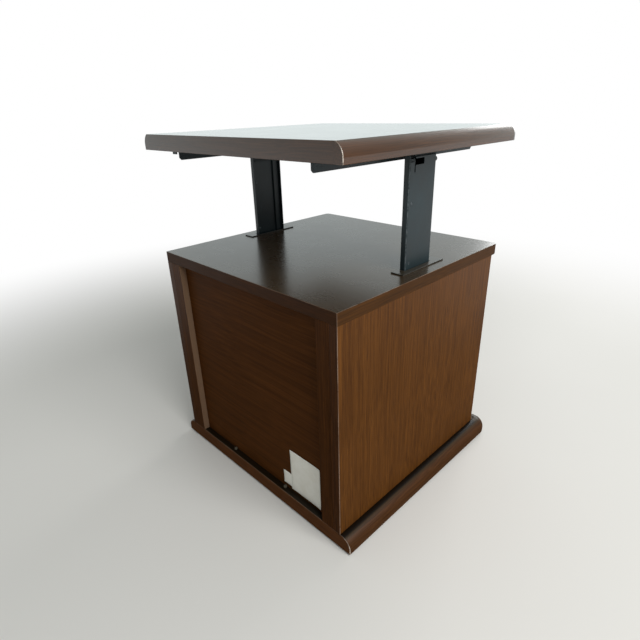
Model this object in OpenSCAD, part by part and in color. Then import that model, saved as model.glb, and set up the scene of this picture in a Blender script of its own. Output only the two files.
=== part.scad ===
// Nightstand with a table top that rises on two steel posts.
// Millimetres, +Z up. The origin lies on the floor, in the middle of the footprint.
// The back of the cabinet faces +Y, the drawers face -Y.

/* [Cabinet] */
// Outside width of the cabinet
cab_w = 450; // [420:1:600]
// Height of the cabinet's top surface above the floor
cab_h = 430; // [400:1:520]
// Depth of the side panels, front to back
side_d = 427; // [400:1:460]
// Thickness of the outer side panels
side_t = 16; // [12:1:20]
// Thickness of the board on top of the cabinet
cap_t = 20; // [16:1:30]
// How far that board reaches past the side panels at the front
cap_reach = 18; // [14:1:24]
// Radius of the front corners of that board
cap_corner_r = 8; // [4:1:12]
// Thickness of the inner side panels
inner_t = 9; // [6:1:12]
// Width of the hollow in each side wall, where the lift runs
hollow_w = 34; // [34:1:44]
// Thickness of the front stiles that close the hollow
stile_t = 20; // [12:1:25]
// Width of the back stiles seen from behind, with the side panel
back_stile_w = 42; // [36:1:45]
// Depth of the back stiles
back_stile_d = 26; // [22:1:34]

/* [Back panel] */
// Thickness of the back panel
back_panel_t = 5; // [3:1:8]
// How far the back panel is set in from the back face
back_inset = 12.5; // [8:0.5:14]
// Depth of the grooves that hold its sides
groove_d = 5; // [3:1:8]
// Distance of each foot button from the middle
button_x = 78; // [40:1:120]
// Diameter of the foot buttons
button_dia = 6; // [4:0.5:8]

/* [Base] */
// Thickness of the base board
base_t = 29; // [24:1:36]
// How far the base board reaches past the sides
base_reach = 22; // [18:1:30]
// How far it reaches past the side panels at the front
base_front = 35; // [30:1:50]
// Height of the glides under it
glide_h = 3; // [2:0.5:6]
// Diameter of the glides
glide_dia = 24; // [16:1:32]
// Height of the straight part of its edge
base_lip = 9.5; // [6:0.5:12]
// Radius of the rounded part of its edge
base_arc = 19.5; // [19.5:0.5:22]
// Radius of its front corners, seen from above
base_corner_r = 26; // [22:1:34]

/* [Table top] */
// How far the table top reaches past the sides
table_reach = 13; // [8:1:20]
// How far it reaches past the side panels at the front
table_front = 19; // [18:1:40]
// Thickness of the table top
table_t = 26; // [20:1:32]
// Gap between the cabinet and the raised table top
table_rise = 184; // [180:1:220]
// Height of the straight part of its edge
table_lip = 8; // [6:1:12]
// Radius of the rounded part of its edge
table_arc = 20.5; // [18:0.5:22]
// Radius of its front corners, seen from above
table_corner_r = 20; // [14:1:30]

/* [Lift] */
// Distance of the posts from the outer side panels
post_in = 16; // [14:0.5:17]
// Distance of the middle of the posts from the back face
post_back_d = 228; // [200:1:240]
// Width of the posts
post_w = 70; // [60:1:76]
// Width of their flanges
post_flange = 10; // [9:0.5:11]
// Thickness of the post steel
post_t = 2; // [1.5:0.1:2.4]
// Outer radius of the bends between the web and the flanges
post_bend_r = 2.5; // [2.4:0.1:3.5]
// Height of the pads under the posts
pad_h = 8.8; // [4:0.4:12]
// Travel of the lift
travel = 160; // [128:16:160]
// Pitch of the pockets in the lock racks
rack_pitch = 16; // [16:1:20]
// Width of the lock racks
rack_w = 14; // [10:1:16]
// Thickness of the lock racks
rack_t = 3; // [2:0.5:4]
// Diameter of the rivet holes in the posts
post_hole = 4.5; // [3:0.5:6]
// Pitch of the rivet holes
post_hole_pitch = 94.5; // [80:0.5:100]

/* [Rails under the table top] */
// Distance of the rails' back ends from the table top's back edge
rail_back = 22; // [15:1:40]
// Distance of their front ends from the table top's front edge
rail_fore = 25; // [24:1:60]
// Distance of the upright flange from the outer face of the posts
rail_in = 31; // [29:1:35]
// Height of the upright flange
rail_h = 16; // [12:1:20]
// Width of the flat flange
rail_w = 22; // [18:1:24]
// Thickness of the rail steel
rail_t = 2; // [1.5:0.5:3]
// Height of the lip at the back end of the flat flange
rail_lip_h = 7; // [5:0.5:9]

/* [Plates round the posts] */
// How far the plates lie outwards of the posts' middle
plate_out = 4; // [3:0.5:5]
// How far the plates lie to the front of the posts' middle
plate_fore = 2.5; // [0:0.5:10]
// Width of the plates
plate_w = 24; // [22:1:28]
// Length of the plates
plate_len = 115; // [100:1:130]
// Thickness of the plates
plate_t = 2; // [1:0.5:3]
// Thickness of the collar under each plate
collar_t = 1.4; // [1:0.1:2]
// Height of the collar
collar_h = 8; // [4:1:12]

/* [Drawers] */
// Thickness of the drawer fronts
front_t = 16; // [14:1:18]
// How far the side panels show beside the fronts
front_reveal = 11; // [9:1:20]
// Gap between the fronts and next to the boards
front_gap = 3; // [2:0.5:5]
// How far the fronts stand below the drawer boxes
box_rise = 16; // [14:1:24]
// How far the fronts stand above the drawer boxes
box_room = 33.5; // [20:0.5:50]
// Room between the drawer boxes and the back panel
box_behind = 39.5; // [30:0.5:80]
// Thickness of the drawer sides and backs
box_t = 12; // [9:1:15]
// Thickness of the drawer bottoms
box_bottom_t = 5; // [3:1:8]
// Height of the strips that carry the drawers
runner_h = 17; // [12:1:24]
// Width of these strips
runner_w = 8; // [7:0.5:9]
// Distance between the posts of a pull
pull_pitch = 96; // [64:32:128]
// Diameter of the grip of a pull
pull_dia = 10; // [8:1:12]
// Height of the grip in front of the drawer
pull_reach = 26; // [22:1:35]

/* [Clearances] */
// Between a post and its nylon guides
guide_gap = 0.15; // [0.1:0.05:0.4]
// Round a post where it passes the plates
plate_gap = 0.6; // [0.4:0.1:1]
// Round a screw or a pin that is fixed
screw_gap = 0.1; // [0.05:0.05:0.3]
// Round the pivot pins of the lock pawls
pivot_gap = 0.05; // [0.03:0.01:0.08]
// Between a drawer and the side walls
drawer_gap = 1; // [0.5:0.1:2]
// Between a strip and its groove
runner_gap = 0.3; // [0.2:0.05:0.5]
// Between the drawer fronts and the cabinet
front_stand = 1; // [0.5:0.5:2]
// Above a stop pad when the table top is down
stop_gap = 0.2; // [0.1:0.1:0.5]

/* [Hidden] */
$fn = 64;
cut = 1;
through = 60;

// Screws and bolts
screw_r = 1.7;
screw_head_r = 4;
screw_head_h = 2.4;
bite = 12;
bolt_r = 3;
bolt_head_r = 5;
bolt_head_h = 3.5;
side_bolt_r = 2.5;
side_bolt_len = 9;
side_bolt_head_r = 3.8;
side_bolt_head_h = 4;
short_bite = 6;
short_head_r = 3;
short_head_h = 1.5;
hole_room = 1;

// Cabinet
half_w = cab_w / 2;
back_y = (side_d + front_stand + front_t + pull_reach) / 2;
front_y = back_y - side_d;
base_top = glide_h + base_t;
cap_z = cab_h - cap_t;
cap_y = front_y - cap_reach;
wall_h = cap_z - base_top;
hollow_out = half_w - side_t;
hollow_in = hollow_out - hollow_w;
inner_x = hollow_in - inner_t;
back_stile_in = half_w - back_stile_w;
panel_y = back_y - back_inset - back_panel_t;
button_gap = 0.5;
button_h = 3;
glide_in = 15;
glide_back = 30;
glide_fore = 10;

// Table top
table_z = cab_h + table_rise;
table_half = half_w + table_reach;
table_y = front_y - table_front;

// Stop pads and posts
pad_side = 2;
post_x = hollow_out - post_in;
post_y = back_y - post_back_d;
post_foot = base_top + pad_h + stop_gap + travel;
post_back = post_y + post_w / 2;
post_front = post_y - post_w / 2;
post_web_in = post_x - post_t;
post_tip = post_x - post_flange;
stub_drop = 5;
stub_d = 12.5;
stub_z = table_z - stub_drop;
tab_drop = 10;
tab_reach = 22;
tab_in = 15;
tab_z = table_z - tab_drop;
tab_front = post_front + tab_in;
slit = 2.5;
slit_h = 22;
tab_back = post_back - stub_d - slit;
window_w = 22;
window_h = 9;
window_drop = 0.5;
window_z = tab_z - post_t - window_drop;
stub_web_drop = 7;
stub_web_z = tab_z - stub_web_drop;
hole_in = 9.5;
hole_drop = 162;
hole_y = post_back - hole_in;
hole_z = tab_z - hole_drop;
lug_h = 12;
lug_w = 12;
lug_t = 4;

// Racks and pawls
rack_lift = 4;
rack_short = 14;
rack_front = post_front + post_t;
rack_in = post_web_in - rack_t;
rack_foot = post_foot + rack_lift;
rack_end = tab_z - rack_short;
pocket_rise = 14;
pocket_z = post_foot + pocket_rise;
pocket_h = 8;
pocket_w = 10;
pivot_in = 4;
pivot_rise = 25;
pivot_x = hollow_in + pivot_in;
pivot_z = pocket_z + pivot_rise;
pivot_r = 1.5;
pawl_r = 3;
pawl_w = 8;
pawl_y = rack_front + rack_w / 2;
pawl_end_gap = 0.5;
pawl_slope = 0.25;
nose_gap = 0.6;
nose_rise = 1;
nose_h = 4;
nose_lead_x = 2.5;
nose_lead_z = 2;
leaf_t = 0.5;
leaf_gap = 0.3;
leaf_bend = 6;
leaf_tip = 15;
leaf_rise = 28;
leaf_screw = 18;

// Sleeves and guides
sleeve_t = 2;
sleeve_side = 1;
sleeve_short = 2;
sleeve_in = hollow_in + sleeve_side;
sleeve_top = cap_z - sleeve_short;
sleeve_screw_parts = [0.15, 0.39, 0.79];
guide_side = 5;
guide_clear = 4;
guide_in = hollow_in + guide_clear;
guide_lip = 4;
guide_h = 30;
guide_sink = 4;
guide_rise = 16;
guide_drop = 4;
guide_low_z = pivot_z + guide_rise;
guide_high_z = cap_z - guide_drop - guide_h;

// Head of the lift
block_gap = 3;
block_ahead = 4;
block_in = post_x - rail_in + block_gap;
block_front = post_front - block_ahead;
block_back = tab_back - 1;
head_bolt_side = 16;
head_bolt_in = 8;
head_bolt_x = post_x - head_bolt_side;
head_bolt_len = tab_drop + post_t + bite;
leg_gap = 1;
leg_in = max(post_tip, head_bolt_x + bolt_head_r + leg_gap);
leg_front = post_front + block_gap;
leg_back = post_back - post_t - leg_gap;
leg_below = 4;
leg_foot = tab_z - slit_h - leg_below;
side_bolt_drop = 7.5;
side_bolt_in = 5;
side_bolt_z = tab_z - side_bolt_drop;
side_bolt_x = post_x - side_bolt_in;

// Rails
rail_x = post_x - rail_in;
rail_end = back_y - rail_back;
rail_front = table_y + rail_fore;
rail_bevel = 5;
rail_screw_x = rail_x + rail_w / 2 + rail_t / 2;
rail_screw_in = 15;
rail_lip_in = 9;

// Plates
plate_x = post_x - post_flange / 2 + plate_out;
plate_y = post_y - plate_fore;

// Drawers
drawer_half = inner_x - drawer_gap;
front_half = half_w - front_reveal;
front_h = (cap_z - base_top - 3 * front_gap) / 2;
drawer_z = [base_top + front_gap, base_top + 2 * front_gap + front_h];
box_y = front_y - front_stand;
box_d = panel_y - box_behind - box_y;
box_h = front_h - box_rise - box_room;
bottom_rise = 8;
bottom_groove = 6;
runner_drop = 9.5;
runner_mid = box_h / 2 - runner_drop;
runner_front = 4;
runner_short = 12;
runner_len = box_d - runner_front - runner_short;
runner_sink = 3;
runner_screw_in = 45;
pull_screw_r = 2;
pull_screw_bite = 10;
pull_screw_head_r = 4;
pull_screw_head_h = 2.5;
pull_post_r = 4.5;
pull_foot = 2;
pull_end = 12;

// Colours as the photograph shows them
side_wood = [0.37, 0.24, 0.13];
dark_wood = [0.22, 0.13, 0.09];
plain_wood = [0.75, 0.62, 0.45];
black_steel = [0.08, 0.08, 0.09];
plain_steel = [0.55, 0.56, 0.58];
nylon = [0.12, 0.12, 0.12];
pale = [0.85, 0.83, 0.78];

// General shapes

// A box from one corner to the other
module box(from, to) {
    translate(from) cube(to - from);
}

// What lies at the right (+X) is drawn, and the left one is its mirror image
module left_side() {
    mirror([1, 0, 0]) children();
}

module both_sides() {
    children();
    left_side() children();
}

// Section of a nosed edge: straight up to the lip, then an arc to the top
module nosing(reach, thick, lip, arc) {
    square([reach, lip]);
    intersection() {
        square([reach, thick]);
        translate([reach - arc, lip]) circle(r = arc, $fn = 96);
    }
}

// Board with a nosed edge on both sides and the front, square at the back
module nosed_board(half, front, back, thick, lip, arc, corner_r) {
    in = half - corner_r;
    side_front = front + corner_r;
    box([-in, side_front, 0], [in, back, thick]);
    for (side = [0, 1]) mirror([side, 0, 0]) {
        translate([in, back, 0]) rotate([90, 0, 0])
            linear_extrude(back - side_front) nosing(corner_r, thick, lip, arc);
        translate([in, side_front, 0]) rotate([0, 0, -90])
            rotate_extrude(angle = 90, $fn = 96) nosing(corner_r, thick, lip, arc);
    }
    translate([in, side_front, 0]) rotate([90, 0, -90])
        linear_extrude(2 * in) nosing(corner_r, thick, lip, arc);
}

// Screw with a flat round head; the head's underside is at z = 0 and the shank points down
module screw(radius, length, head_r, head_h) {
    translate([0, 0, -length]) cylinder(r = radius, h = length);
    cylinder(r = head_r, h = head_h);
}

module wood_screw(length) {
    screw(screw_r, length, screw_head_r, screw_head_h);
}

// Hole for a shank, deep to both sides of the place of the head
module screw_hole(radius, deep) {
    cylinder(r = radius + screw_gap, h = 2 * deep, center = true);
}

// Cabinet

module glides() {
    color(nylon)
    for (x = [-1, 1], y = [front_y - glide_fore, back_y - glide_back])
        translate([x * (half_w - glide_in), y, 0]) cylinder(d = glide_dia, h = glide_h);
}

module base_board() {
    color(dark_wood)
    translate([0, 0, glide_h])
        nosed_board(half_w + base_reach, front_y - base_front, back_y, base_t, base_lip, base_arc,
                    base_corner_r);
}

module side_panel() {
    color(side_wood)
    difference() {
        box([hollow_out, front_y, base_top], [half_w, back_y, cap_z]);
        sleeve_screw_places() screw_hole(screw_r, bite);
        guide_screw_places() screw_hole(screw_r, bite);
    }
}

module inner_panel() {
    color(plain_wood)
    difference() {
        box([inner_x, front_y + stile_t, base_top], [hollow_in, panel_y, cap_z]);
        runner_screw_places() screw_hole(screw_r, short_bite);
        spring_screw_place() screw_hole(screw_r, short_bite);
    }
}

module front_stile() {
    color(dark_wood)
    box([inner_x, front_y, base_top], [hollow_out, front_y + stile_t, cap_z]);
}

module back_stile() {
    color(side_wood)
    difference() {
        box([back_stile_in, back_y - back_stile_d, base_top], [hollow_out, back_y, cap_z]);
        box([back_stile_in - cut, panel_y, base_top - cut],
            [back_stile_in + groove_d, panel_y + back_panel_t, cap_z + cut]);
    }
}

module back_panel() {
    color(dark_wood)
    box([-back_stile_in - groove_d, panel_y, base_top],
        [back_stile_in + groove_d, panel_y + back_panel_t, cap_z]);
}

// Pale buttons on the ledge of the base, which keep the foot of the back panel in place
module back_buttons() {
    color(pale)
    for (x = [-1, 1])
        translate([x * button_x, panel_y + back_panel_t + button_dia / 2 + button_gap, base_top])
            cylinder(d = button_dia, h = button_h);
}

module cap_board() {
    color(dark_wood)
    difference() {
        union() {
            box([-half_w, cap_y + cap_corner_r, cap_z], [half_w, back_y, cab_h]);
            box([cap_corner_r - half_w, cap_y, cap_z], [half_w - cap_corner_r, back_y, cab_h]);
            for (side = [-1, 1])
                translate([side * (half_w - cap_corner_r), cap_y + cap_corner_r, cap_z])
                    cylinder(r = cap_corner_r, h = cap_t);
        }
        both_sides() post_opening(plate_gap + collar_t + screw_gap, cap_z - cut, cab_h + cut);
    }
}

// Space round a post, gap wide on every side
module post_opening(gap, low, high) {
    box([post_tip - gap, post_front - gap, low], [post_x + gap, post_back + gap, high]);
}

// Steel plate round a post, with a collar down in the opening of the board
module plate() {
    color(black_steel)
    difference() {
        union() {
            box([plate_x - plate_w / 2, plate_y - plate_len / 2, cab_h],
                [plate_x + plate_w / 2, plate_y + plate_len / 2, cab_h + plate_t]);
            post_opening(plate_gap + collar_t, cab_h - collar_h, cab_h + plate_t / 2);
        }
        post_opening(plate_gap, cab_h - collar_h - cut, cab_h + plate_t + cut);
    }
}

// Lift guides in the side walls

module sleeve() {
    color(plain_steel)
    difference() {
        box([sleeve_in, post_front - guide_side - sleeve_t, base_top],
            [hollow_out, post_back + guide_side + sleeve_t, sleeve_top]);
        box([sleeve_in - cut, post_front - guide_side, base_top - cut],
            [hollow_out - sleeve_t, post_back + guide_side, cap_z]);
        sleeve_screw_places() screw_hole(screw_r, bite);
        guide_screw_places() screw_hole(screw_r, bite);
        pawl_pin_place() screw_hole(pivot_r, post_w);
    }
}

module sleeve_screw_places() {
    for (part = sleeve_screw_parts)
        translate([hollow_out, post_y, base_top + part * wall_h]) rotate([0, -90, 0]) children();
}

module sleeve_screws() {
    color(plain_steel)
    both_sides() sleeve_screw_places() translate([0, 0, sleeve_t]) wood_screw(sleeve_t + bite - hole_room);
}

// Nylon guide that wraps a post on the outside and holds the edges of its flanges
module guide(z) {
    box_front = post_front - guide_side;
    box_back = post_back + guide_side;
    difference() {
        box([guide_in, box_front, z], [hollow_out - sleeve_t, box_back, z + guide_h]);
        post_opening(guide_gap, z - cut, z + guide_h + cut);
        box([guide_in - cut, post_front + guide_lip, z - cut],
            [post_tip, post_back - guide_lip, z + guide_h + cut]);
    }
}

module guides() {
    color(nylon)
    difference() {
        for (z = [guide_low_z, guide_high_z]) guide(z);
        guide_screw_places() screw_hole(screw_r, through);
        guide_screw_head_places() cylinder(r = screw_head_r + screw_gap, h = guide_sink + cut);
    }
}

module guide_screw_places() {
    for (z = [guide_low_z, guide_high_z])
        translate([hollow_out, post_y, z + guide_h / 2]) rotate([0, -90, 0]) children();
}

// Underside of the sunk head of a guide's screw
module guide_screw_head_places() {
    guide_screw_places() translate([0, 0, hollow_out - post_x - guide_gap - guide_sink]) children();
}

module guide_screws() {
    color(plain_steel)
    both_sides() guide_screw_head_places()
        wood_screw(hollow_out - post_x - guide_gap - guide_sink + bite - hole_room);
}

// Nylon pads under the posts, where the lift rests when it is down
module stop_pads() {
    color(nylon)
    both_sides()
        box([post_tip - pad_side, post_front, base_top],
            [post_x + pad_side, post_back, post_foot - travel - stop_gap]);
}

// Lock pawls

module pawl_pin_place() {
    translate([pivot_x, post_y, pivot_z]) rotate([90, 0, 0]) children();
}

module pawl_pins() {
    color(plain_steel)
    both_sides() pawl_pin_place()
        cylinder(r = pivot_r, h = post_w + 2 * guide_side + 2 * sleeve_t, center = true);
}

// Where the back of a pawl's arm lies at height z
function pawl_back_x(z) = pivot_x - pawl_r + (pivot_z - z) * pawl_slope;

// Lock pawl: a tube on the pin, as long as the sleeve is wide, with an arm that swings its nose into a pocket
module pawl() {
    nose_x = rack_in - nose_gap;
    nose_low = pocket_z + nose_rise;
    nose_top = nose_low + nose_h;
    color(plain_steel)
    difference() {
        union() {
            pawl_pin_place() cylinder(r = pawl_r, h = post_w + 2 * (guide_side - pawl_end_gap), center = true);
            translate([0, pawl_y + pawl_w / 2, 0]) rotate([90, 0, 0]) linear_extrude(pawl_w)
                polygon([
                    [pivot_x - pawl_r, pivot_z], [pivot_x + pawl_r, pivot_z],
                    [nose_x - nose_lead_x, nose_top + nose_lead_z], [nose_x, nose_top], [nose_x, nose_low],
                    [pawl_back_x(nose_low), nose_low]
                ]);
        }
        pawl_pin_place() cylinder(r = pivot_r + pivot_gap, h = 2 * post_w, center = true);
    }
}

// Leaf spring on the inner panel that bears on the back of the pawl
module spring() {
    leaf_top = pivot_z + leaf_rise;
    bend_z = pivot_z - leaf_bend;
    tip_z = pivot_z - leaf_tip;
    tip_x = pawl_back_x(tip_z) - leaf_gap - leaf_t;
    color(plain_steel)
    difference() {
        translate([0, pawl_y + pawl_w / 2, 0]) rotate([90, 0, 0]) linear_extrude(pawl_w)
            polygon([
                [hollow_in, leaf_top], [hollow_in, bend_z], [tip_x, tip_z], [tip_x + leaf_t, tip_z],
                [hollow_in + leaf_t, bend_z], [hollow_in + leaf_t, leaf_top]
            ]);
        spring_screw_place() screw_hole(screw_r, short_bite);
    }
}

module spring_screw_place() {
    translate([hollow_in + leaf_t, pawl_y, pivot_z + leaf_screw]) rotate([0, 90, 0]) children();
}

module spring_screws() {
    color(plain_steel)
    both_sides() spring_screw_place() screw(screw_r, short_bite, short_head_r, short_head_h);
}

// Drawer runners

module runner_screw_places() {
    for (z = drawer_z, y = [runner_screw_in, runner_len - runner_screw_in])
        translate([inner_x, front_y + y, z + box_rise + runner_mid]) rotate([0, -90, 0]) children();
}

// Strip on the inner panel that carries a drawer in the groove of its side
module runner(z) {
    color(nylon)
    difference() {
        runner_space(z, 0, runner_len);
        runner_screw_places() screw_hole(screw_r, 2 * runner_w);
        runner_screw_places() translate([0, 0, runner_w - runner_sink])
            cylinder(r = screw_head_r + screw_gap, h = runner_sink + cut);
    }
}

// Space of a strip, gap wide above and below it
module runner_space(z, gap, length) {
    mid = z + box_rise + runner_mid;
    box([inner_x - runner_w - gap, front_y + runner_front - gap, mid - runner_h / 2 - gap],
        [inner_x, front_y + runner_front + length, mid + runner_h / 2 + gap]);
}

module runner_screws() {
    color(plain_steel)
    both_sides() runner_screw_places()
        translate([0, 0, runner_w - runner_sink]) wood_screw(runner_w - runner_sink + short_bite);
}

// Lift

module table_top() {
    color(dark_wood)
    difference() {
        translate([0, 0, table_z])
            nosed_board(table_half, table_y, back_y, table_t, table_lip, table_arc, table_corner_r);
        both_sides() {
            rail_screw_places() screw_hole(screw_r, rail_t + bite);
            head_bolt_places() screw_hole(bolt_r, head_bolt_len);
        }
    }
}

// Angle under the table top, with bevelled lower corners
module rail() {
    color(black_steel)
    difference() {
        union() {
            box([rail_x, rail_front, table_z - rail_h], [rail_x + rail_t, rail_end, table_z]);
            box([rail_x, rail_front, table_z - rail_t], [rail_x + rail_w, rail_end, table_z]);
            box([rail_x + rail_lip_in, rail_end - rail_t, table_z - rail_lip_h],
                [rail_x + rail_w, rail_end, table_z]);
        }
        for (y = [rail_end, rail_front])
            translate([rail_x, y, table_z - rail_h]) rotate([45, 0, 0])
                cube([2 * rail_t + cut, rail_bevel, rail_bevel], center = true);
        rail_screw_places() screw_hole(screw_r, rail_t + bite);
        head_bolt_places() screw_hole(bolt_r, head_bolt_len);
    }
}

module rail_screw_places() {
    for (y = [rail_end - rail_screw_in, rail_end - 7 * rail_screw_in, rail_front + 5 * rail_screw_in,
              rail_front + rail_screw_in])
        translate([rail_screw_x, y, table_z - rail_t]) rotate([180, 0, 0]) children();
}

module rail_screws() {
    color(plain_steel)
    both_sides() rail_screw_places() wood_screw(rail_t + bite);
}

// Outline of a post, round at the two bends
module post_outline() {
    translate([post_tip, post_front]) square([post_flange - post_bend_r, post_w]);
    translate([post_tip, post_front + post_bend_r]) square([post_flange, post_w - 2 * post_bend_r]);
    for (y = [post_front + post_bend_r, post_back - post_bend_r])
        translate([post_x - post_bend_r, y]) circle(r = post_bend_r);
}

// Post: a steel channel, open to the inside, with a tab bent inwards at its head and a window under the tab
module post() {
    color(black_steel)
    difference() {
        union() {
            difference() {
                translate([0, 0, post_foot]) linear_extrude(stub_z - post_foot) post_outline();
                box([post_tip - cut, post_front + post_t, post_foot - cut],
                    [post_web_in, post_back - post_t, stub_z + cut]);
                box([post_tip - cut, post_front - cut, tab_z], [post_x + cut, tab_back + slit, stub_z + cut]);
            }
            box([post_x - tab_reach, tab_front, tab_z - post_t], [post_x, tab_back, tab_z]);
            translate([post_x, post_y, guide_low_z - stop_gap - lug_h / 2])
                cube([2 * lug_t, lug_w, lug_h], center = true);
        }
        box([post_tip - cut, post_front + post_t, post_foot],
            [post_web_in, post_back - post_t, tab_z - post_t - cut]);
        box([post_web_in - cut, tab_back, tab_z - slit_h], [post_x + cut, tab_back + slit, stub_z]);
        box([post_web_in - cut, tab_back - window_w, window_z - window_h],
            [post_x + cut, tab_back + cut, window_z]);
        box([post_web_in - cut, tab_back + slit - cut, stub_web_z],
            [post_x + cut, post_back - post_t, stub_z + cut]);
        for (n = [-2 : 1])
            translate([post_x, hole_y, hole_z + n * post_hole_pitch])
                rotate([0, 90, 0]) cylinder(d = post_hole, h = 4 * post_t, center = true);
        head_bolt_places() screw_hole(bolt_r, head_bolt_len);
        side_bolt_place() screw_hole(side_bolt_r, side_bolt_len);
    }
}

// Lock rack on the inner face of a post, with pockets along its lower part
module rack() {
    color(black_steel)
    difference() {
        box([rack_in, rack_front, rack_foot], [post_web_in, rack_front + rack_w, rack_end]);
        for (n = [0 : travel / rack_pitch])
            box([rack_in - cut, pawl_y - pocket_w / 2, pocket_z + n * rack_pitch],
                [post_web_in + cut, pawl_y + pocket_w / 2, pocket_z + pocket_h + n * rack_pitch]);
    }
}

// Block between the head of a post and the rail; its leg goes down inside the post and back under the tab
module head_block() {
    color(black_steel)
    difference() {
        union() {
            box([block_in, block_front, tab_z], [post_web_in - leg_gap, block_back, table_z - rail_t]);
            box([leg_in, leg_front, rack_end + leg_gap], [post_web_in, tab_front - leg_gap, tab_z + cut]);
            box([leg_in, leg_front, rack_end + leg_gap], [post_web_in, leg_back, tab_z - post_t - leg_gap]);
            box([leg_in, rack_front + rack_w + leg_gap, leg_foot],
                [post_web_in, leg_back, tab_z - post_t - leg_gap]);
        }
        head_bolt_places() screw_hole(bolt_r, head_bolt_len);
        side_bolt_place() screw_hole(side_bolt_r, side_bolt_len);
    }
}

module head_bolt_places() {
    for (y = [tab_front + head_bolt_in, tab_back - head_bolt_in])
        translate([head_bolt_x, y, tab_z - post_t]) rotate([180, 0, 0]) children();
}

module head_bolts() {
    color(plain_steel)
    both_sides() head_bolt_places() screw(bolt_r, head_bolt_len, bolt_head_r, bolt_head_h);
}

module side_bolt_place() {
    translate([side_bolt_x, post_front, side_bolt_z]) rotate([90, 0, 0]) children();
}

module side_bolts() {
    color(black_steel)
    both_sides() side_bolt_place() screw(side_bolt_r, side_bolt_len, side_bolt_head_r, side_bolt_head_h);
}

// Drawers; z is the lower edge of the front

module drawer_front(z) {
    color(dark_wood)
    difference() {
        box([-front_half, box_y - front_t, z], [front_half, box_y, z + front_h]);
        pull_screw_places(z) screw_hole(pull_screw_r, through);
        drawer_bottom_space(z);
    }
}

module drawer_side(z) {
    color(plain_wood)
    difference() {
        box([drawer_half - box_t, box_y, z + box_rise], [drawer_half, box_y + box_d, z + box_rise + box_h]);
        drawer_bottom_space(z);
        runner_space(z, runner_gap, box_d);
    }
}

module drawer_rear(z) {
    color(plain_wood)
    difference() {
        box([box_t - drawer_half, box_y + box_d - box_t, z + box_rise],
            [drawer_half - box_t, box_y + box_d, z + box_rise + box_h]);
        drawer_bottom_space(z);
    }
}

// Space of a drawer's bottom, with its edges in the grooves of the sides, the rear and the front
module drawer_bottom_space(z) {
    low = z + box_rise + bottom_rise;
    box([bottom_groove - drawer_half, box_y - box_bottom_t, low],
        [drawer_half - bottom_groove, box_y + box_d - box_t + bottom_groove, low + box_bottom_t]);
}

module drawer_bottom(z) {
    color(plain_wood) drawer_bottom_space(z);
}

module pull_screw_places(z) {
    for (x = [-pull_pitch / 2, pull_pitch / 2])
        translate([x, box_y, z + front_h / 2]) rotate([-90, 0, 0]) children();
}

// Bow pull: a round grip on round posts with flared feet
module pull(z) {
    post_len = pull_reach - pull_dia / 2;
    color(black_steel)
    difference() {
        union() {
            pull_screw_places(z) translate([0, 0, -front_t - post_len]) cylinder(r = pull_post_r, h = post_len);
            pull_screw_places(z) translate([0, 0, -front_t - pull_foot])
                cylinder(r = pull_post_r + pull_foot, h = pull_foot);
            translate([0, box_y - front_t - post_len, z + front_h / 2]) rotate([0, 90, 0])
                cylinder(d = pull_dia, h = pull_pitch + 2 * pull_end, center = true);
        }
        pull_screw_places(z) translate([0, 0, -front_t]) screw_hole(pull_screw_r, pull_screw_bite + hole_room);
    }
}

module pull_screws(z) {
    color(plain_steel)
    pull_screw_places(z) screw(pull_screw_r, front_t + pull_screw_bite, pull_screw_head_r, pull_screw_head_h);
}

base_board();
glides();
left_side() side_panel();  // side_panel_left
side_panel();  // side_panel_right
left_side() inner_panel();  // inner_panel_left
inner_panel();  // inner_panel_right
left_side() front_stile();  // front_stile_left
front_stile();  // front_stile_right
left_side() back_stile();  // back_stile_left
back_stile();  // back_stile_right
back_panel();
back_buttons();
cap_board();
left_side() plate();  // plate_left
plate();  // plate_right
left_side() sleeve();  // sleeve_left
sleeve();  // sleeve_right
left_side() guides();  // guides_left
guides();  // guides_right
stop_pads();
sleeve_screws();
guide_screws();
pawl_pins();
left_side() pawl();  // pawl_left
pawl();  // pawl_right
left_side() spring();  // spring_left
spring();  // spring_right
spring_screws();
left_side() runner(drawer_z[0]);  // runner_lower_left
runner(drawer_z[0]);  // runner_lower_right
left_side() runner(drawer_z[1]);  // runner_upper_left
runner(drawer_z[1]);  // runner_upper_right
runner_screws();
table_top();
left_side() rail();  // rail_left
rail();  // rail_right
rail_screws();
left_side() post();  // post_left
post();  // post_right
left_side() rack();  // rack_left
rack();  // rack_right
left_side() head_block();  // head_block_left
head_block();  // head_block_right
head_bolts();
side_bolts();
drawer_front(drawer_z[0]);  // front_lower
left_side() drawer_side(drawer_z[0]);  // side_lower_left
drawer_side(drawer_z[0]);  // side_lower_right
drawer_rear(drawer_z[0]);  // rear_lower
drawer_bottom(drawer_z[0]);  // bottom_lower
pull(drawer_z[0]);  // pull_lower
pull_screws(drawer_z[0]);  // pull_screws_lower
drawer_front(drawer_z[1]);  // front_upper
left_side() drawer_side(drawer_z[1]);  // side_upper_left
drawer_side(drawer_z[1]);  // side_upper_right
drawer_rear(drawer_z[1]);  // rear_upper
drawer_bottom(drawer_z[1]);  // bottom_upper
pull(drawer_z[1]);  // pull_upper
pull_screws(drawer_z[1]);  // pull_screws_upper
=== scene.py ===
import math

import bmesh
import bpy
from mathutils import Matrix, Vector


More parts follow.
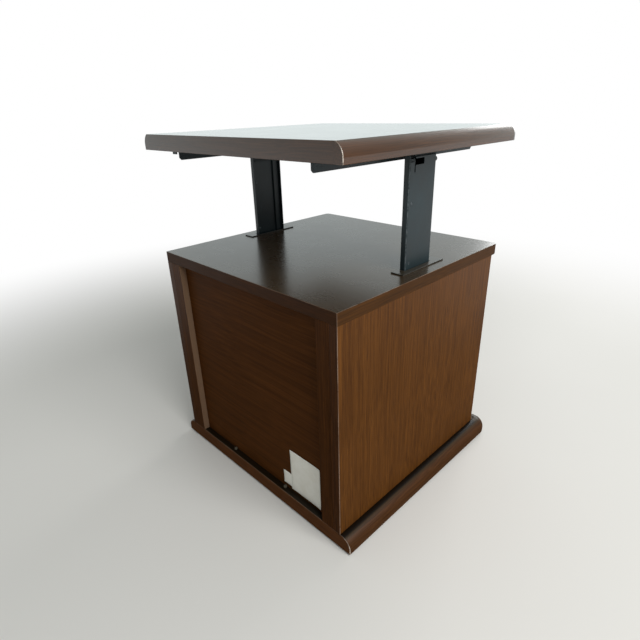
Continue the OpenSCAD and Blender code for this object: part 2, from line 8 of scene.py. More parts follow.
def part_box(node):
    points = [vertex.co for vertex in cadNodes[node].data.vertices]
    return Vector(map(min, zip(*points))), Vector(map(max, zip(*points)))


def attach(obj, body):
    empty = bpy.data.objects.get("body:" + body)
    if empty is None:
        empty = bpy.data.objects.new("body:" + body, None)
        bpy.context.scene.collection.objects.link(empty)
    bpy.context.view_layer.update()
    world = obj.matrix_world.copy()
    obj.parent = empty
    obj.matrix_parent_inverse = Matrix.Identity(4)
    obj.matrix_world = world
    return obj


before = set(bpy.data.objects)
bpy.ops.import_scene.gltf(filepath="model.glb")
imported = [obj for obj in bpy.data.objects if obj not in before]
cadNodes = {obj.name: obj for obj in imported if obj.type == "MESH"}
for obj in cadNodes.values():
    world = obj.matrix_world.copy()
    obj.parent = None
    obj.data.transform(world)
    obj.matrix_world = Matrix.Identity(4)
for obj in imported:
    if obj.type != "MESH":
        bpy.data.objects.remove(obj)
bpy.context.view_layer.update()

print("packed model loaded,", len(cadNodes), "nodes")


def tone(red, green, blue):
    # a screen colour, 0 to 255, as the linear colour that Blender's sockets take
    def linear(part):
        share = part / 255
        return share / 12.92 if share <= 0.04045 else ((share + 0.055) / 1.055) ** 2.4
    return (linear(red), linear(green), linear(blue), 1.0)


def pick(sockets, key):
    # a socket by its place in the list, or by its name among those in use
    if isinstance(key, int):
        return sockets[key]
    return next(s for s in sockets if s.enabled and s.name == key)


class Wire:
    # a shader socket that sums can be written on
    def __init__(self, finish, socket):
        self.finish = finish
        self.socket = socket

    def sum(self, operation, first, second):
        kinds = {part.socket.type for part in (first, second) if isinstance(part, Wire)}
        if "RGBA" in kinds:
            return self.finish.add("Mix", {"data_type": "RGBA", "blend_type": operation},
                                   {"Factor": 1.0, "A": first, "B": second}, "Result")
        if "VECTOR" in kinds:
            return self.finish.add("VectorMath", {"operation": operation}, {0: first, 1: second})
        return self.finish.add("Math", {"operation": operation}, {0: first, 1: second})

    def __add__(self, other):
        return self.sum("ADD", self, other)

    def __radd__(self, other):
        return self.sum("ADD", other, self)

    def __sub__(self, other):
        return self.sum("SUBTRACT", self, other)

    def __rsub__(self, other):
        return self.sum("SUBTRACT", other, self)

    def __mul__(self, other):
        return self.sum("MULTIPLY", self, other)

    def __rmul__(self, other):
        return self.sum("MULTIPLY", other, self)

    def __gt__(self, other):
        return self.finish.add("Math", {"operation": "GREATER_THAN"}, {0: self, 1: other})


class Finish:
    # one node tree, of a material or of the world
    def __init__(self, owner):
        owner.use_nodes = True
        self.owner = owner
        self.tree = owner.node_tree
        self.tree.nodes.clear()

    def add(self, kind, settings=None, inputs=None, output=0):
        node = self.tree.nodes.new("ShaderNode" + kind)
        for name, value in (settings or {}).items():
            if name == "stops":
                self.setStops(node.color_ramp, value)
            else:
                setattr(node, name, value)
        for key, value in (inputs or {}).items():
            self.feed(pick(node.inputs, key), value)
        return Wire(self, pick(node.outputs, output)) if node.outputs else None

    def setStops(self, ramp, stops):
        while len(ramp.elements) < len(stops):
            ramp.elements.new(0.5)
        for element, (position, colour) in zip(ramp.elements, stops):
            element.position = position
            element.color = colour

    def feed(self, socket, value):
        if isinstance(value, Wire):
            self.tree.links.new(value.socket, socket)
        elif socket.type in ("VECTOR", "RGBA") and isinstance(value, (int, float)):
            socket.default_value = [value] * len(socket.default_value)
        else:
            socket.default_value = value

    def place(self):
        return self.add("TexCoord", output="Object")

    def noise(self, place, scale, detail, roughness):
        return self.add("TexNoise", None,
                        {"Vector": place, "Scale": scale, "Detail": detail, "Roughness": roughness})

    def smooth(self, value, low, high):
        # 0 below low, 1 above high, a smooth step between
        return self.add("MapRange", {"interpolation_type": "SMOOTHSTEP"},
                        {"Value": value, "From Min": low, "From Max": high})

    def largest(self, first, *others):
        for other in others:
            first = self.add("Math", {"operation": "MAXIMUM"}, {0: first, 1: other})
        return first

    def blend(self, share, first, second, dataType="RGBA"):
        return self.add("Mix", {"data_type": dataType}, {"Factor": share, "A": first, "B": second}, "Result")

    def ramp(self, value, stops, tones):
        return self.add("ValToRGB", {"stops": list(zip(stops, tones))}, {"Fac": value})

    def darkToLight(self, value, look):
        return self.ramp(value, look["stops"], (look["dark"], look["light"]))

    def bump(self, height, strength, distance):
        return self.add("Bump", None, {"Height": height, "Strength": strength, "Distance": distance})

    def close(self, surface):
        kind = "OutputWorld" if isinstance(self.owner, bpy.types.World) else "OutputMaterial"
        self.add(kind, None, {"Surface": surface})
        return self.owner


def newFinish(name):
    return Finish(bpy.data.materials.new(name))


class Shape:
    # what a finish can ask about its place on a piece: where it is, and where it faces
    def __init__(self, finish):
        self.finish = finish
        self.place = finish.place()
        x, self.y, self.z = self.split(self.place)
        self.absX = finish.add("Math", {"operation": "ABSOLUTE"}, {0: x})
        normal = finish.add("TexCoord", output="Normal")
        self.up = self.split(normal)[2]
        self.facing = self.split(finish.add("VectorMath", {"operation": "ABSOLUTE"}, {0: normal}))

    def split(self, vector):
        return [self.finish.add("SeparateXYZ", None, {"Vector": vector}, axis) for axis in "XYZ"]

    def arris(self, span):
        # 1 on the narrow rounded arrises, where the normal leans between two axes
        return self.finish.smooth(1 - self.finish.largest(*self.facing), *span)

    def wornAndSheenArris(self, box, pair, width):
        # 1 at the arris where the box's outer faces of two axes meet, 0 from width off it
        low, high = box
        reach = {"x": (self.absX, max(-low.x, high.x)), "y": (self.y, high.y), "z": (self.z, high.z)}
        gaps = [limit - value for value, limit in (reach[axis] for axis in pair)]
        return 1 - self.finish.smooth(self.finish.largest(*gaps), 0.5 * width, width)

    def between(self, value, low, high, soft):
        # 1 from low to high, fading over soft outside them
        rise = self.finish.smooth(value, low - soft, low)
        return rise * (1 - self.finish.smooth(value, high, high + soft))


# wood: fine streaks and pores stretched along the grain, then painted light and shade, and pale arrises that
# are partly wear and partly a painted highlight
# a noise is given as scale, detail and roughness, and a span as where a smooth step starts and ends
# a third number in a span is how far it fades outside
wood = {
    "figureStops": (0.36, 0.5, 0.64),  # where the figure is darkest, middling and lightest
    "wanderNoise": (5.0, 1.0, 0.5), "wanderReach": 0.012,  # how the grain strays from its line
    "poreStretch": 0.03, "poreSpan": (0.54, 0.74),
    "cloudNoise": (7.0, 2.0, 0.5), "cloudStops": (0.3, 0.7),
    "cloudTints": ((0.93, 0.92, 0.9, 1.0), (1.06, 1.06, 1.07, 1.0)),
    "faceSpan": (0.72, 0.97),  # how far a surface looks up before it counts as the board's face
    "turnSpan": (0.6, 0.9),  # the same for surfaces that look to the back or to a side
    "nickNoise": (170.0, 3.0, 0.7), "nickSpan": (0.28, 0.46),
    "patchNoise": (16.0, 2.0, 0.5), "patchSpan": (0.3, 0.62), "patchLeast": 0.45,
    "smudgeNoise": (14.0, 3.0, 0.6), "smudgeRough": 0.1, "streakRough": 0.12,
    "streakHeight": 0.4, "threadHeight": 0.2, "poreHeight": 0.6, "bumpReach": 0.00006,
    "coatRoughness": 0.2,
}


def lengthways(shape, look, stretch):
    # the place on the piece, drawn out along the grain
    lay = shape.place * [stretch if axis == look["along"] else 1.0 for axis in "xyz"]
    if "lipFrom" in look:  # the lippings at the sides have their grain from front to back
        lipped = shape.absX > look["lipFrom"]
        lay = shape.finish.blend(lipped, lay, shape.place * (1.0, stretch, 1.0), "VECTOR")
    return lay


def paintedLightAndShade(shape, look, colour):
    finish = shape.finish
    # painted light on faces that look to the back: painted shade on the side panels, stiles and cap, painted
    # bounce light on the base's back edge, a painted grey sheen on the table's back edge
    toBack = finish.smooth(shape.facing[1], *wood["turnSpan"])
    colour = finish.blend(toBack, colour, colour * look["paintedBackLight"])
    if "paintedCheekLight" in look:  # painted light: the faces that look into the recess of the back are painted paler, as if lit
        paintedCheekLight = look["paintedCheekLight"]
        toSide = finish.smooth(shape.facing[0], *wood["turnSpan"])
        inward = toSide * (1 - finish.smooth(shape.absX, *paintedCheekLight["within"]))
        colour = finish.blend(inward * paintedCheekLight["amount"], colour, paintedCheekLight["tone"])
    if "dust" in look:  # painted shade on the base's top in the corner between the base and what stands on it
        dust = look["dust"]
        ledge = finish.smooth(shape.z, *dust["height"]) * finish.smooth(shape.up, *dust["upSpan"])
        sides = shape.between(shape.absX, *dust["sides"]) * finish.smooth(shape.y, *dust["sidesStart"])
        inRecess = 1 - finish.smooth(shape.absX, *dust["recessWithin"])
        recess = shape.between(shape.y, *dust["recess"]) * inRecess
        shade = finish.largest(sides, recess * dust["recessAmount"]) * ledge
        colour = finish.blend(shade * dust["amount"], colour, colour * dust["tint"])
    return colour


def wornAndSheen(name, shape, look, colour):
    # the pale lines on the arrises are partly wear on the wood and partly a painted highlight
    finish = shape.finish
    nicks = finish.smooth(finish.noise(shape.place, *wood["nickNoise"]), *wood["nickSpan"])
    patches = finish.smooth(finish.noise(shape.place, *wood["patchNoise"]), *wood["patchSpan"])
    broken = nicks * (wood["patchLeast"] + patches * (1 - wood["patchLeast"]))
    for pair, amount in look["wornAndSheenArris"].items():
        line = shape.wornAndSheenArris(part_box(name), pair, look["arrisLineWidth"])
        colour = finish.blend(line * broken * amount, colour, look["bareAndSheen"])
    if "corner" in look:  # the profile's arris at the back corners is rubbed down to the pale wood
        corner = look["corner"]
        place = finish.smooth(shape.absX, *corner["x"]) * finish.smooth(shape.y, *corner["y"])
        arris = shape.between(shape.facing[1], *corner["lean"])
        lower = 1 - finish.smooth(shape.facing[2], *corner["upper"]) * corner["upperLess"]
        colour = finish.blend(place * arris * lower * nicks, colour, corner["bareAndSheen"])
    return colour


def veneer(name, look):
    finish = newFinish(name + "_veneer")
    shape = Shape(finish)
    wander = finish.noise(shape.place, *wood["wanderNoise"])
    lay = lengthways(shape, look, look["stretch"]) + (wander - 0.5) * wood["wanderReach"]
    bands = finish.noise(lay, *look["bandNoise"])
    streaks = finish.noise(lay, *look["streakNoise"])
    threads = finish.noise(lay, *look["threadNoise"])
    pores = finish.noise(lengthways(shape, look, wood["poreStretch"]), *look["poreNoise"])
    pores = finish.smooth(pores, *wood["poreSpan"])
    figure = bands * look["bandShare"] + streaks * look["streakShare"] + threads * look["threadShare"]
    onFace = finish.smooth(shape.up, *wood["faceSpan"])
    colour = finish.ramp(figure, wood["figureStops"], look["face"])
    if "edge" in look:  # edges and nosings are lipped with a browner wood than the face
        colour = finish.blend(onFace, finish.ramp(figure, wood["figureStops"], look["edge"]), colour)
    colour = finish.blend(pores * look["poreDepth"], colour, look["pore"])
    cloud = finish.noise(shape.place, *wood["cloudNoise"])
    colour = colour * finish.ramp(cloud, wood["cloudStops"], wood["cloudTints"])
    colour = paintedLightAndShade(shape, look, colour)
    colour = wornAndSheen(name, shape, look, colour)
    smudge = finish.noise(shape.place, *wood["smudgeNoise"])
    streakRough = look["roughness"] * wood["streakRough"]
    rough = look["roughness"] + (smudge - 0.5) * wood["smudgeRough"] + (streaks - 0.5) * streakRough
    height = streaks * wood["streakHeight"] + threads * wood["threadHeight"] - pores * wood["poreHeight"]
    sockets = {
        "Base Color": colour,
        "Roughness": rough,
        "Specular IOR Level": look["specular"],
        "Normal": finish.bump(height, look["bump"], wood["bumpReach"]),
    }
    if look["coat"] > 0:  # lacquer, with duller edges under it
        sockets["Roughness"] = rough + (1 - onFace) * look["edgeDull"]
        sockets["Coat Weight"] = finish.smooth(shape.up, *look["coatSpan"]) * look["coat"]
        sockets["Coat Roughness"] = wood["coatRoughness"]
    return finish.close(finish.add("BsdfPrincipled", None, sockets))


sideLook = {
    "along": "z", "stretch": 0.008,
    "bandNoise": (40.0, 1.0, 0.5), "bandShare": 0.08,
    "streakNoise": (460.0, 2.0, 0.5), "streakShare": 0.5,
    "threadNoise": (900.0, 1.0, 0.5), "threadShare": 0.42,
    "poreNoise": (1500.0, 1.0, 0.5),
    "face": (tone(69, 38, 9), tone(86, 50, 14), tone(103, 62, 20)),
    "pore": tone(46, 25, 8), "poreDepth": 0.5,
    "paintedBackLight": (0.6, 0.52, 0.46, 1.0),
    # the pale arris line is partly wear, partly a painted highlight
    "bareAndSheen": tone(152, 131, 116), "wornAndSheenArris": {"xy": 0.65}, "arrisLineWidth": 0.0011,
    "roughness": 0.46, "bump": 0.4, "specular": 0.15,
    "coat": 0.0, "coatSpan": (0.72, 0.97),
}
stileLook = {
    **sideLook,
    # painted light on the stiles' inner faces
    "paintedCheekLight": {"tone": tone(128, 104, 84), "amount": 0.7, "within": (0.19, 0.2)},
    "paintedBackLight": (0.64, 0.58, 0.58, 1.0),
    "specular": 0.08, "wornAndSheenArris": {},
}
backLook = {
    **sideLook,
    "along": "x", "stretch": 0.02, "streakNoise": (170.0, 2.0, 0.5), "threadNoise": (420.0, 1.0, 0.5),
    "face": (tone(64, 35, 11), tone(74, 41, 13), tone(83, 47, 17)),
    "paintedBackLight": (1.0, 1.0, 1.0, 1.0), "poreDepth": 0.25,
    "roughness": 0.55, "specular": 0.05, "wornAndSheenArris": {},
}
capLook = {
    **sideLook,
    "along": "x", "stretch": 0.02, "lipFrom": 0.2225,
    "face": (tone(51, 39, 23), tone(54, 41, 25), tone(57, 43, 26)),
    "edge": (tone(54, 31, 8), tone(65, 38, 10), tone(76, 45, 14)),
    "paintedBackLight": (0.76, 0.66, 0.58, 1.0), "poreDepth": 0.08,
    "coat": 0.45, "edgeDull": 0.3, "roughness": 0.28, "bump": 0.015, "specular": 0.14,
    "wornAndSheenArris": {"xy": 0.7, "yz": 0.35, "xz": 0.45}, "arrisLineWidth": 0.0008,
}
tableLook = {
    **capLook,
    "lipFrom": 0.222,
    "edge": (tone(54, 32, 14), tone(65, 39, 18), tone(76, 46, 23)),
    "paintedBackLight": (1.0, 1.08, 1.15, 1.0),
    "coat": 1.0, "coatSpan": (-0.6, -0.1), "roughness": 0.18, "bump": 0.05, "specular": 0.12,
    "wornAndSheenArris": {},
    "corner": {"x": (0.224, 0.228), "y": (0.231, 0.234), "lean": (0.25, 0.95, 0.05),
               "upper": (0.25, 0.5), "upperLess": 0.85, "bareAndSheen": tone(206, 192, 178)},
}
baseLook = {
    **tableLook,
    "lipFrom": 0.226,
    "edge": (tone(57, 33, 13), tone(68, 40, 17), tone(80, 48, 22)),
    "paintedBackLight": (1.6, 1.45, 1.25, 1.0),
    "coat": 0.04, "coatSpan": (0.72, 0.97), "edgeDull": 0.1,
    "roughness": 0.36, "bump": 0.12, "specular": 0.14,
    "wornAndSheenArris": {"yz": 0.3}, "arrisLineWidth": 0.0009,
    "corner": {**tableLook["corner"], "x": (0.23, 0.234)},
    # painted shade: the ledge along the side panels and at the foot of the back panel is darkened
    "dust": {
        "height": (0.022, 0.026), "upSpan": (0.3, 0.6),
        "sides": (0.2, 0.2325, 0.004), "sidesStart": (-0.2, -0.188),
        "recess": (0.2, 0.2325, 0.0015), "recessWithin": (0.181, 0.184), "recessAmount": 0.88,
        "amount": 0.97, "tint": (0.12, 0.1, 0.09, 1.0),
    },
}
frontLook = {**sideLook, "along": "x", "paintedBackLight": (1.0, 1.0, 1.0, 1.0), "wornAndSheenArris": {}}

veneers = {
    "side_panel_left": sideLook, "side_panel_right": sideLook,
    "back_stile_left": stileLook, "back_stile_right": stileLook,
    "front_stile_left": stileLook, "front_stile_right": stileLook,
    "back_panel": backLook, "cap_board": capLook,
    "table_top": tableLook, "base_board": baseLook,
    "front_lower": frontLook, "front_upper": frontLook,
}


# pale boards of the drawer boxes and the inside
def paleBoard(name, look):
    finish = newFinish(name)
    lay = finish.place() * (1.0, look["stretch"], 1.0)
    grain = finish.noise(lay, *look["grainNoise"])
    fleck = finish.smooth(finish.noise(lay, *look["fleckNoise"]), *look["fleckSpan"])
    colour = finish.blend(fleck * look["fleckAmount"], finish.darkToLight(grain, look), look["fleck"])
    shader = finish.add("BsdfPrincipled", None, {
        "Base Color": colour,
        "Roughness": look["roughness"] + (grain - 0.5) * look["grainRough"],
        "Normal": finish.bump(grain, look["bump"], look["bumpReach"]),
    })
    return finish.close(shader)


paleLook = {
    "stretch": 0.03, "grainNoise": (90.0, 3.0, 0.6),
    "fleckNoise": (600.0, 2.0, 0.5), "fleckSpan": (0.56, 0.7), "fleckAmount": 0.35,
    "dark": tone(184, 158, 122), "light": tone(206, 184, 150), "stops": (0.3, 0.7),
    "fleck": tone(150, 122, 88),
    "roughness": 0.5, "grainRough": 0.1, "bump": 0.12, "bumpReach": 0.0003,
}


# powder coat: fine orange peel, scuffs along the height, greyer on the arrises
def powderCoat(name, look):
    finish = newFinish(name)
    shape = Shape(finish)
    peel = finish.noise(shape.place, *look["peelNoise"])
    cloud = finish.noise(shape.place, *look["cloudNoise"])
    scuff = finish.noise(shape.place * (1.0, 1.0, look["scuffStretch"]), *look["scuffNoise"])
    scuffed = finish.smooth(scuff, *look["scuffSpan"]) * look["scuffAmount"]
    colour = finish.blend(scuffed, finish.darkToLight(cloud, look), look["scuff"])
    nicks = finish.smooth(finish.noise(shape.place, *look["nickNoise"]), *look["nickSpan"])
    colour = finish.blend(shape.arris(look["arrisSpan"]) * nicks * look["wear"], colour, look["bareAndSheen"])
    rough = look["roughness"] + (cloud - 0.5) * look["cloudRough"] + (scuff - 0.5) * look["scuffRough"]
    shader = finish.add("BsdfPrincipled", None, {
        "Base Color": colour,
        "Roughness": rough,
        "Specular IOR Level": look["specular"],
        "Normal": finish.bump(peel, look["bump"], look["bumpReach"]),
    })
    return finish.close(shader)


coatLook = {
    # the teal tint of these tones is a painted reflection of cool light; the coat itself is black
    "dark": tone(16, 28, 31), "light": tone(25, 41, 45), "stops": (0.3, 0.7),
    "scuff": tone(48, 68, 74), "bareAndSheen": tone(110, 114, 116),
    "peelNoise": (1400.0, 2.0, 0.5),
    "cloudNoise": (24.0, 3.0, 0.6), "cloudRough": 0.14,
    "scuffNoise": (130.0, 4.0, 0.7), "scuffStretch": 0.12,
    "scuffSpan": (0.62, 0.8), "scuffAmount": 0.3, "scuffRough": 0.1,
    "nickNoise": (220.0, 3.0, 0.7), "nickSpan": (0.35, 0.6),
    "arrisSpan": (0.03, 0.16), "wear": 0.4,
    "roughness": 0.4, "specular": 0.4, "bump": 0.4, "bumpReach": 0.00005,
}
# painted light: the head blocks get a paler grey than the posts' coat, as if lit, since they sit in full
# shade behind the window in the web
paintedLightBlockLook = {
    **coatLook,
    "dark": tone(58, 63, 65), "light": tone(74, 80, 82),
    "scuff": tone(90, 96, 98), "bareAndSheen": tone(110, 112, 114),
    "wear": 0.2, "roughness": 0.6, "specular": 0.2,
}
plateLook = {
    **coatLook,
    "dark": tone(42, 37, 29), "light": tone(52, 45, 35), "scuff": tone(70, 62, 52),
    "roughness": 0.28, "specular": 0.7, "bump": 0.1,
}


# bare metal with a mottle and duller patches: zinc here, the rivets further down
def metal(name, look):
    finish = newFinish(name)
    place = finish.place()
    mottle = finish.noise(place, *look["mottleNoise"])
    dull = finish.noise(place, *look["dullNoise"])
    shader = finish.add("BsdfPrincipled", None, {
        "Base Color": finish.darkToLight(mottle, look),
        "Metallic": look["metallic"],
        "Roughness": look["roughness"] + (dull - 0.5) * look["dullRough"],
        "Normal": finish.bump(mottle, look["bump"], look["bumpReach"]),
    })
    return finish.close(shader)


zincLook = {
    "dark": tone(150, 150, 152), "light": tone(196, 196, 198), "stops": (0.3, 0.7),
    "mottleNoise": (260.0, 3.0, 0.6), "dullNoise": (40.0, 3.0, 0.5), "dullRough": 0.3,
    "metallic": 1.0, "roughness": 0.36, "bump": 0.1, "bumpReach": 0.0002,
}


def mouldedPlastic(name, look):
    finish = newFinish(name)
    place = finish.place()
    grain = finish.noise(place, *look["grainNoise"])
    cloud = finish.noise(place, *look["cloudNoise"])
    shader = finish.add("BsdfPrincipled", None, {
        "Base Color": finish.darkToLight(cloud, look),
        "Roughness": look["roughness"] + (grain - 0.5) * look["grainRough"],
        "Normal": finish.bump(grain, look["bump"], look["bumpReach"]),
    })
    return finish.close(shader)


nylonLook = {
    "dark": tone(30, 30, 30), "light": tone(42, 42, 42), "stops": (0.3, 0.7),
    "grainNoise": (1200.0, 3.0, 0.6), "cloudNoise": (30.0, 3.0, 0.5), "grainRough": 0.15, "roughness": 0.5,
    "bump": 0.15, "bumpReach": 0.0002,
}
palePlasticLook = {
    **nylonLook,
    "dark": tone(84, 78, 66), "light": tone(100, 93, 80),
    "grainNoise": (900.0, 3.0, 0.6), "roughness": 0.45,
}

plainMaterials = {
    "plain_board": paleBoard("paleBoard", paleLook),
    "black_steel": powderCoat("powderCoat", coatLook),
    "plain_steel": metal("zinc", zincLook),
    "nylon": mouldedPlastic("nylon", nylonLook),
    "pale_plastic": mouldedPlastic("palePlastic", palePlasticLook),
}
paintedLightBlockCoat = powderCoat("paintedLightBlockCoat", paintedLightBlockLook)
plateCoat = powderCoat("plateCoat", plateLook)
print("finishes mixed")


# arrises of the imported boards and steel: doubled corners joined, flat faces made whole, then a fine round
rounding = {"join": 0.00001, "flatTo": 1.0, "cornerFrom": 40.0, "steps": 3}  # angles in degrees


def soften(node, width):
    weld = node.modifiers.new("weld", "WELD")
    weld.merge_threshold = rounding["join"]
    flat = node.modifiers.new("flat", "DECIMATE")
    flat.decimate_type = "DISSOLVE"
    flat.angle_limit = math.radians(rounding["flatTo"])
    bevel = node.modifiers.new("round", "BEVEL")
    bevel.width = width
    bevel.segments = rounding["steps"]
    bevel.limit_method = "ANGLE"
    bevel.angle_limit = math.radians(rounding["cornerFrom"])
    bevel.use_clamp_overlap = False


arrises = {
    "side_panel_left": 0.0004, "side_panel_right": 0.0004,
    "back_stile_left": 0.0003, "back_stile_right": 0.0003,
    "front_stile_left": 0.0003, "front_stile_right": 0.0003,
    "cap_board": 0.0006, "table_top": 0.0008, "base_board": 0.0008,
    "front_lower": 0.0012, "front_upper": 0.0012,
    "post_left": 0.0004, "post_right": 0.0004,
    "plate_left": 0.0004, "plate_right": 0.0004,
    "rail_left": 0.0005, "rail_right": 0.0005,
}

for name, node in cadNodes.items():
    if name in veneers:
        material = veneer(name, veneers[name])
    elif name.startswith("head_block"):
        material = paintedLightBlockCoat
    elif name.startswith("plate"):
        material = plateCoat
    else:
        material = plainMaterials[node.material_slots[0].material.name]
    node.material_slots[0].material = material
    if name in arrises:
        soften(node, arrises[name])
print("packed nodes dressed")


def addPiece(name, work, material, body):
    # a built mesh as a smooth piece of the scene that rides on a body
    mesh = bpy.data.meshes.new(name)
    bmesh.ops.recalc_face_normals(work, faces=work.faces)
    work.to_mesh(mesh)
    work.free()
    for polygon in mesh.polygons:
        polygon.use_smooth = True
    mesh.materials.append(material)
    piece = bpy.data.objects.new(name, mesh)
    bpy.context.scene.collection.objects.link(piece)
    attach(piece, body)


# paper label low on the back panel, blank, with a small second one beside it
label = {
    "main": (-0.169, -0.094, 0.037, 0.126),  # x from, x to, z from, z to
    "tab": (-0.0945, -0.073, 0.041, 0.070),
    "mainStand": 0.0002, "tabStand": 0.00005,  # off the panel's outer face
    "thickness": 0.00015,
    "gridStep": 0.003, "fewestCells": 4,
    "lift": 0.0006, "liftSharpness": 6,  # only the very corners come off
    "ripple": 0.00006, "waves": ((31, 4), (-7, 19)),  # each wave's turn across and up the sheet, in radians
    "light": tone(240, 237, 228), "dark": tone(230, 226, 214), "stops": (0.36, 0.62),
    "fibreNoise": (700.0, 4.0, 0.7), "fibreShare": 0.3, "fibreRough": 0.1,
    "cloudNoise": (38.0, 3.0, 0.6),
    "roughness": 0.55, "bump": 0.2, "bumpReach": 0.0002,
}


def paper(name, look):
    finish = newFinish(name)
    place = finish.place()
    fibre = finish.noise(place, *look["fibreNoise"])
    cloud = finish.noise(place, *look["cloudNoise"])
    mottle = cloud * (1 - look["fibreShare"]) + fibre * look["fibreShare"]
    shader = finish.add("BsdfPrincipled", None, {
        "Base Color": finish.darkToLight(mottle, look),
        "Roughness": look["roughness"] + (fibre - 0.5) * look["fibreRough"],
        "Normal": finish.bump(fibre, look["bump"], look["bumpReach"]),
    })
    return finish.close(shader)


def labelSheet(name, box, stand, look, material):
    # a thin sheet on the panel's outer face, its corners a little lifted
    xFrom, xTo, zFrom, zTo = box
    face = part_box("back_panel")[1].y + stand
    columns = max(look["fewestCells"], round((xTo - xFrom) / look["gridStep"]))
    rows = max(look["fewestCells"], round((zTo - zFrom) / look["gridStep"]))
    work = bmesh.new()

    def corner(side, row, column):
        u, v = column / columns, row / rows
        lift = look["lift"] * (abs(2 * u - 1) * abs(2 * v - 1)) ** look["liftSharpness"]
        waves = sum(1 + math.sin(across * u + upward * v) for across, upward in look["waves"])
        y = face + side * look["thickness"] + lift + waves * look["ripple"]
        return work.verts.new((xFrom + (xTo - xFrom) * u, y, zFrom + (zTo - zFrom) * v))

    layers = [[[corner(side, row, column) for column in range(columns + 1)] for row in range(rows + 1)]
              for side in (0, 1)]
    for grid in layers:
        for row in range(rows):
            for column in range(columns):
                work.faces.new([grid[row][column], grid[row][column + 1],
                                grid[row + 1][column + 1], grid[row + 1][column]])
    back, fore = layers
    rim = ([(0, c) for c in range(columns)] + [(r, columns) for r in range(rows)]
           + [(rows, c) for c in range(columns, 0, -1)] + [(r, 0) for r in range(rows, 0, -1)])
    for (r1, c1), (r2, c2) in zip(rim, rim[1:] + rim[:1]):
        work.faces.new([back[r2][c2], back[r1][c1], fore[r1][c1], fore[r2][c2]])
    addPiece(name, work, material, "cabinet")


labelPaper = paper("labelPaper", label)
labelSheet("back_label", label["main"], label["mainStand"], label, labelPaper)
labelSheet("back_label_tab", label["tab"], label["tabStand"], label, labelPaper)
print("label stuck on")


# rivets that plug the holes in the posts: flush outside, a low tail inside
rivet = {
    "pitch": 0.0945, "lowest": 0.253, "count": 4, "back": 0.0325,
    "webInside": 0.191,
    "around": 28,
    "unit": 0.001,  # the profile is in millimetres
    "profile": [  # distance from the web's inner face, outwards positive, and radius
        (-0.85, 0.0), (-0.82, 0.7), (-0.68, 1.4), (-0.42, 2.1), (-0.12, 2.65), (-0.03, 2.8), (-0.01, 2.5),
        (0.0, 2.18), (1.7, 2.18), (1.88, 2.05), (1.9, 1.8), (1.84, 1.2), (1.78, 0.6), (1.76, 0.0),
    ],
    "dark": tone(58, 64, 68), "light": tone(92, 99, 103), "stops": (0.35, 0.65),
    "mottleNoise": (900.0, 3.0, 0.6), "dullNoise": (200.0, 2.0, 0.5), "dullRough": 0.3,
    "metallic": 0.7, "roughness": 0.34, "bump": 0.3, "bumpReach": 0.00003,
}


def rivetRow(name, side, look, material):
    # side is 1 for the right post and -1 for the left one
    work = bmesh.new()

    def ring(height, out, radius):
        x = side * (look["webInside"] + out * look["unit"])
        if radius == 0:
            return [work.verts.new((x, look["back"], height))]
        turns = [2 * math.pi * step / look["around"] for step in range(look["around"])]
        reach = radius * look["unit"]
        return [work.verts.new((x, look["back"] + reach * math.cos(turn), height + reach * math.sin(turn)))
                for turn in turns]

    for number in range(look["count"]):
        height = look["lowest"] + number * look["pitch"]
        rings = [ring(height, out, radius) for out, radius in look["profile"]]
        for first, second in zip(rings, rings[1:]):
            for step in range(look["around"]):
                after = (step + 1) % look["around"]
                corners = [first[step % len(first)], first[after % len(first)],
                           second[after % len(second)], second[step % len(second)]]
                work.faces.new(list(dict.fromkeys(corners)))
    addPiece(name, work, material, "lift")


rivetMetal = metal("rivetMetal", rivet)
rivetRow("rivets_right", 1, rivet, rivetMetal)
rivetRow("rivets_left", -1, rivet, rivetMetal)
print("rivets set")


# floor, white surround and lights
studio = {
    "floorSize": 16.0, "floorColour": tone(226, 222, 216),
    "floorMirrored": tone(104, 84, 64),  # what gloss shows of the floor close by
    "fadeFrom": 0.8, "fadeTo": 2.0,  # where the floor turns white for the camera
    "glossFrom": 0.6, "glossTo": 1.6,  # and for gloss
    "floorNoise": (3.0, 3.0, 0.5), "floorRoughness": 0.6, "floorCloudRough": 0.1,
    "surround": 0.28, "tint": (0.905, 0.985, 0.985, 1.0),  # the surround's light on the object
    # gloss shows the surround bright on one side and dim on the other
    "brightSide": (0.707, -0.707, 0.0), "wallSpan": (-0.35, 0.55), "dimWall": 0.3,
    "keyPower": 88.0, "keySize": 2.0, "keyPlace": (-2.35, 0.3, 2.25), "keyColour": (0.97, 0.99, 1.0),
    "fillPower": 26.0, "fillSize": 1.4, "fillPlace": (0.3, -2.8, 1.4),
    "aim": (0.0, 0.0, 0.35),
}
white = (1.0, 1.0, 1.0, 1.0)


def floorFinish(look):
    finish = newFinish("studioFloor")
    place = finish.place()
    far = finish.add("VectorMath", {"operation": "LENGTH"}, {0: place}, "Value")
    cloud = finish.noise(place, *look["floorNoise"])
    bright = finish.add("Emission", None, {"Color": white, "Strength": 1.0})
    toCamera = finish.add("LightPath", output="Is Camera Ray")
    inGloss = finish.add("LightPath", output="Is Glossy Ray")
    seen = toCamera * finish.smooth(far, look["fadeFrom"], look["fadeTo"])
    mirrored = inGloss * finish.smooth(far, look["glossFrom"], look["glossTo"])
    paint = finish.add("BsdfPrincipled", None, {
        "Base Color": finish.blend(inGloss, look["floorColour"], look["floorMirrored"]),
        "Roughness": look["floorRoughness"] + (cloud - 0.5) * look["floorCloudRough"],
    })
    return finish.close(finish.add("MixShader", None, {0: seen + mirrored, 1: paint, 2: bright}))


floorMesh = bpy.data.meshes.new("studio_floor")
half = studio["floorSize"] / 2
floorCorners = [(-half, -half, 0), (half, -half, 0), (half, half, 0), (-half, half, 0)]
floorMesh.from_pydata(floorCorners, [], [(0, 1, 2, 3)])
floor = bpy.data.objects.new("studio_floor", floorMesh)
bpy.context.scene.collection.objects.link(floor)
floorMesh.materials.append(floorFinish(studio))


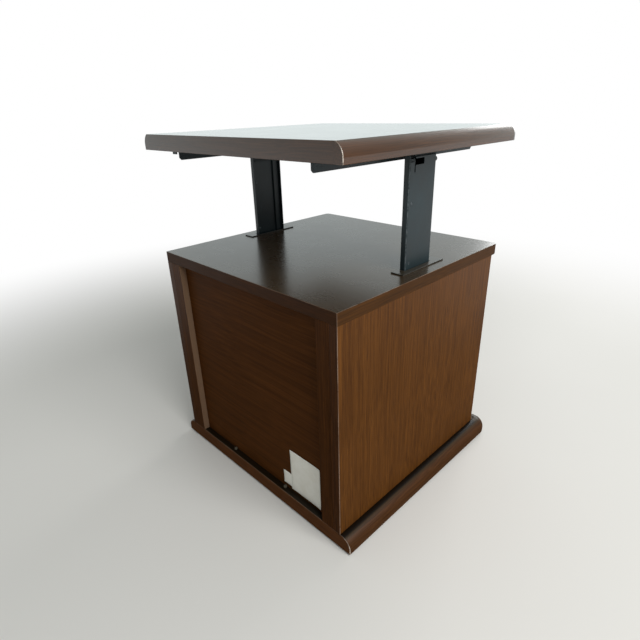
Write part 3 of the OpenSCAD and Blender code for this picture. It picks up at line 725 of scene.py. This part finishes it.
def surroundFinish(world, look):
    # white for the camera, uneven for gloss, dim for everything else
    finish = Finish(world)
    toCamera = finish.add("LightPath", output="Is Camera Ray")
    inGloss = finish.add("LightPath", output="Is Glossy Ray")
    heading = finish.add("VectorMath", {"operation": "DOT_PRODUCT"},
                         {0: finish.add("TexCoord", output="Generated"), 1: look["brightSide"]}, "Value")
    wall = look["dimWall"] + finish.smooth(heading, *look["wallSpan"]) * (1 - look["dimWall"])
    through = finish.add("LightPath", output="Is Transmission Ray")
    strength = look["surround"] + (toCamera + through) * (1 - look["surround"])
    strength = finish.blend(inGloss, strength, wall, "FLOAT")
    colour = finish.blend(toCamera, look["tint"], white)
    finish.close(finish.add("Background", None, {"Color": colour, "Strength": strength}))


world = bpy.data.worlds.new("surround")
bpy.context.scene.world = world
surroundFinish(world, studio)


def softLight(name, place, size, power, colour=(1, 1, 1)):
    light = bpy.data.lights.new(name, "AREA")
    light.shape = "SQUARE"
    light.size = size
    light.energy = power
    light.color = colour
    lamp = bpy.data.objects.new(name, light)
    lamp.location = place
    aim = Vector(studio["aim"]) - Vector(place)
    lamp.rotation_mode = "QUATERNION"
    lamp.rotation_quaternion = aim.to_track_quat("-Z", "Y")
    bpy.context.scene.collection.objects.link(lamp)


softLight("key_light", studio["keyPlace"], studio["keySize"], studio["keyPower"], studio["keyColour"])
softLight("front_light", studio["fillPlace"], studio["fillSize"], studio["fillPower"])

# camera solved from the photograph's edges
view = {
    "focalPixels": 469.79, "framePixels": 640, "sensorWidth": 36.0,
    "place": (-0.61025, 0.64003, 0.674), "aim": (-0.01735, 0.06406, 0.3), "roll": -0.030984,
    "nearest": 0.01,
}
lens = bpy.data.cameras.new("camera")
lens.sensor_width = view["sensorWidth"]
lens.lens = view["sensorWidth"] * view["focalPixels"] / view["framePixels"]
lens.clip_start = view["nearest"]
camera = bpy.data.objects.new("camera", lens)
ahead = (Vector(view["aim"]) - Vector(view["place"])).normalized()
sideways = ahead.cross(Vector((0, 0, 1))).normalized()
upward = sideways.cross(ahead)
cosRoll, sinRoll = math.cos(view["roll"]), math.sin(view["roll"])
right = sideways * cosRoll + upward * sinRoll
top = upward * cosRoll - sideways * sinRoll
stance = Matrix((right, top, -ahead)).transposed().to_4x4()
camera.matrix_world = Matrix.Translation(view["place"]) @ stance
bpy.context.scene.collection.objects.link(camera)
bpy.context.scene.camera = camera
bpy.context.scene.view_settings.view_transform = "Standard"
print("studio and camera set")

bpy.context.view_layer.update()
